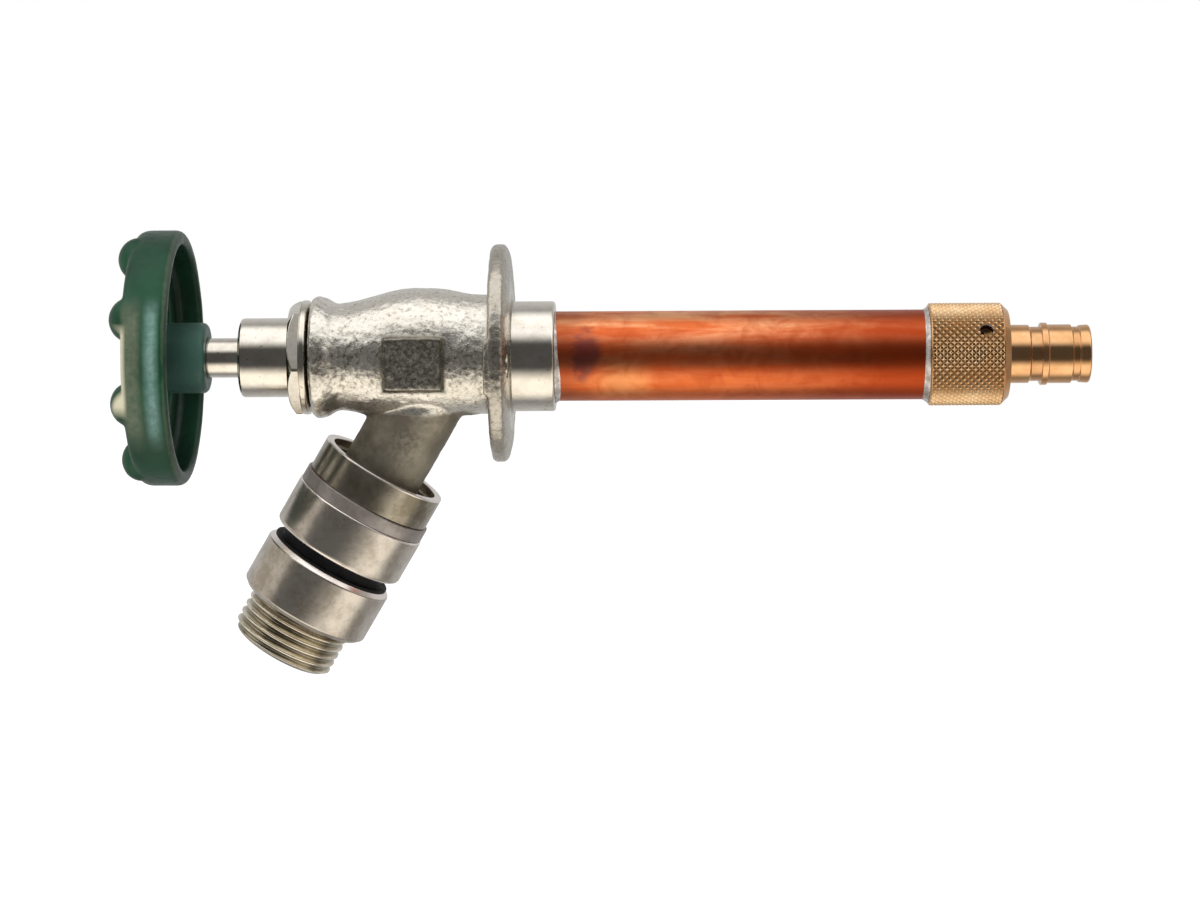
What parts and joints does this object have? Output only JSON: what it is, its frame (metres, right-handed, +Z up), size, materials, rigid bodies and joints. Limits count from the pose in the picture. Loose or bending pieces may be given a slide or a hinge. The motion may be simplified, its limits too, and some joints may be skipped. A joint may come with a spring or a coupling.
{
  "type": "frost free sillcock",
  "caption": "Wall-mounted garden tap with a green handwheel, slanted spout with hose vacuum breaker, copper barrel and knurled barbed inlet.",
  "frame": {"origin": "centre of the wall flange's rear face, on the barrel's axis, midway between the two screw holes", "axes": "+X along the barrel into the wall, +Z up, the spout slants down towards -X"},
  "size_m": [0.2385, 0.0634, 0.112],
  "materials": {
    "green_enamel": "gloss enamel on a die casting",
    "nickel_plate": "bright nickel plate on turned brass",
    "satin_nickel": "satin nickel plate",
    "cast_nickel": "rough sand casting in brass, nickel plated",
    "brass": "turned brass",
    "copper": "drawn copper tube, heat tarnished",
    "solder": "dull solder",
    "steel": "stainless",
    "rubber": "black rubber",
    "plastic": "moulded acetal"
  },
  "bodies": {
    "fixed": {"bonnet": "nickel_plate", "bonnet_gasket": "rubber", "stem_o_rings": "rubber", "valve_body": "cast_nickel", "copper_tube": "copper", "front_solder_ring": "solder", "rear_solder_ring": "solder", "inlet_fitting": "brass", "spout_gasket": "rubber", "breaker_body": "nickel_plate", "lock_screw": "steel", "breaker_band": "satin_nickel", "breaker_shell": "nickel_plate", "poppet_guide": "plastic", "poppet_spring": "steel", "sleeve_o_ring": "rubber", "drain_spring": "steel"},
    "washer_carrier": {"plunger": "brass", "plunger_clip": "steel", "seat_washer": "rubber", "washer_screw": "brass"},
    "spindle": {"handwheel": "green_enamel", "handle_screw": "steel", "handle_washer": "steel", "stem": "nickel_plate", "stem_rod": "brass", "rod_pin": "steel"},
    "check_valve": {"check_poppet": "plastic", "poppet_seal": "rubber"},
    "drain_sleeve": {"hose_nipple": "nickel_plate", "retaining_clip": "steel", "drain_boot": "rubber"}
  },
  "joints": [
    {"name": "stem_travel", "type": "slide", "parent": "fixed", "child": "washer_carrier", "axis": [-1, 0, 0], "range_m": [0, 0.00794]},
    {"name": "handle_turn", "type": "hinge", "parent": "washer_carrier", "child": "spindle", "pos_m": [0, 0, 0], "axis": [-1, 0, 0], "range_deg": [0, 900]},
    {"name": "poppet_lift", "type": "slide", "parent": "fixed", "child": "check_valve", "axis": [-0.5075, 0, -0.8616], "range_m": [0, 0.0025], "stiffness_N_per_m": 120, "springref_m": -0.004, "deforming": ["poppet_spring"]},
    {"name": "drain_slide", "type": "slide", "parent": "fixed", "child": "drain_sleeve", "axis": [0.5075, 0, 0.8616], "range_m": [0, 0.0025], "stiffness_N_per_m": 500, "springref_m": -0.004, "deforming": ["drain_spring"]}
  ],
  "couplings": [
    {"joint": "stem_travel", "follows": "handle_turn", "m_per_rad": 0.00050532}
  ]
}
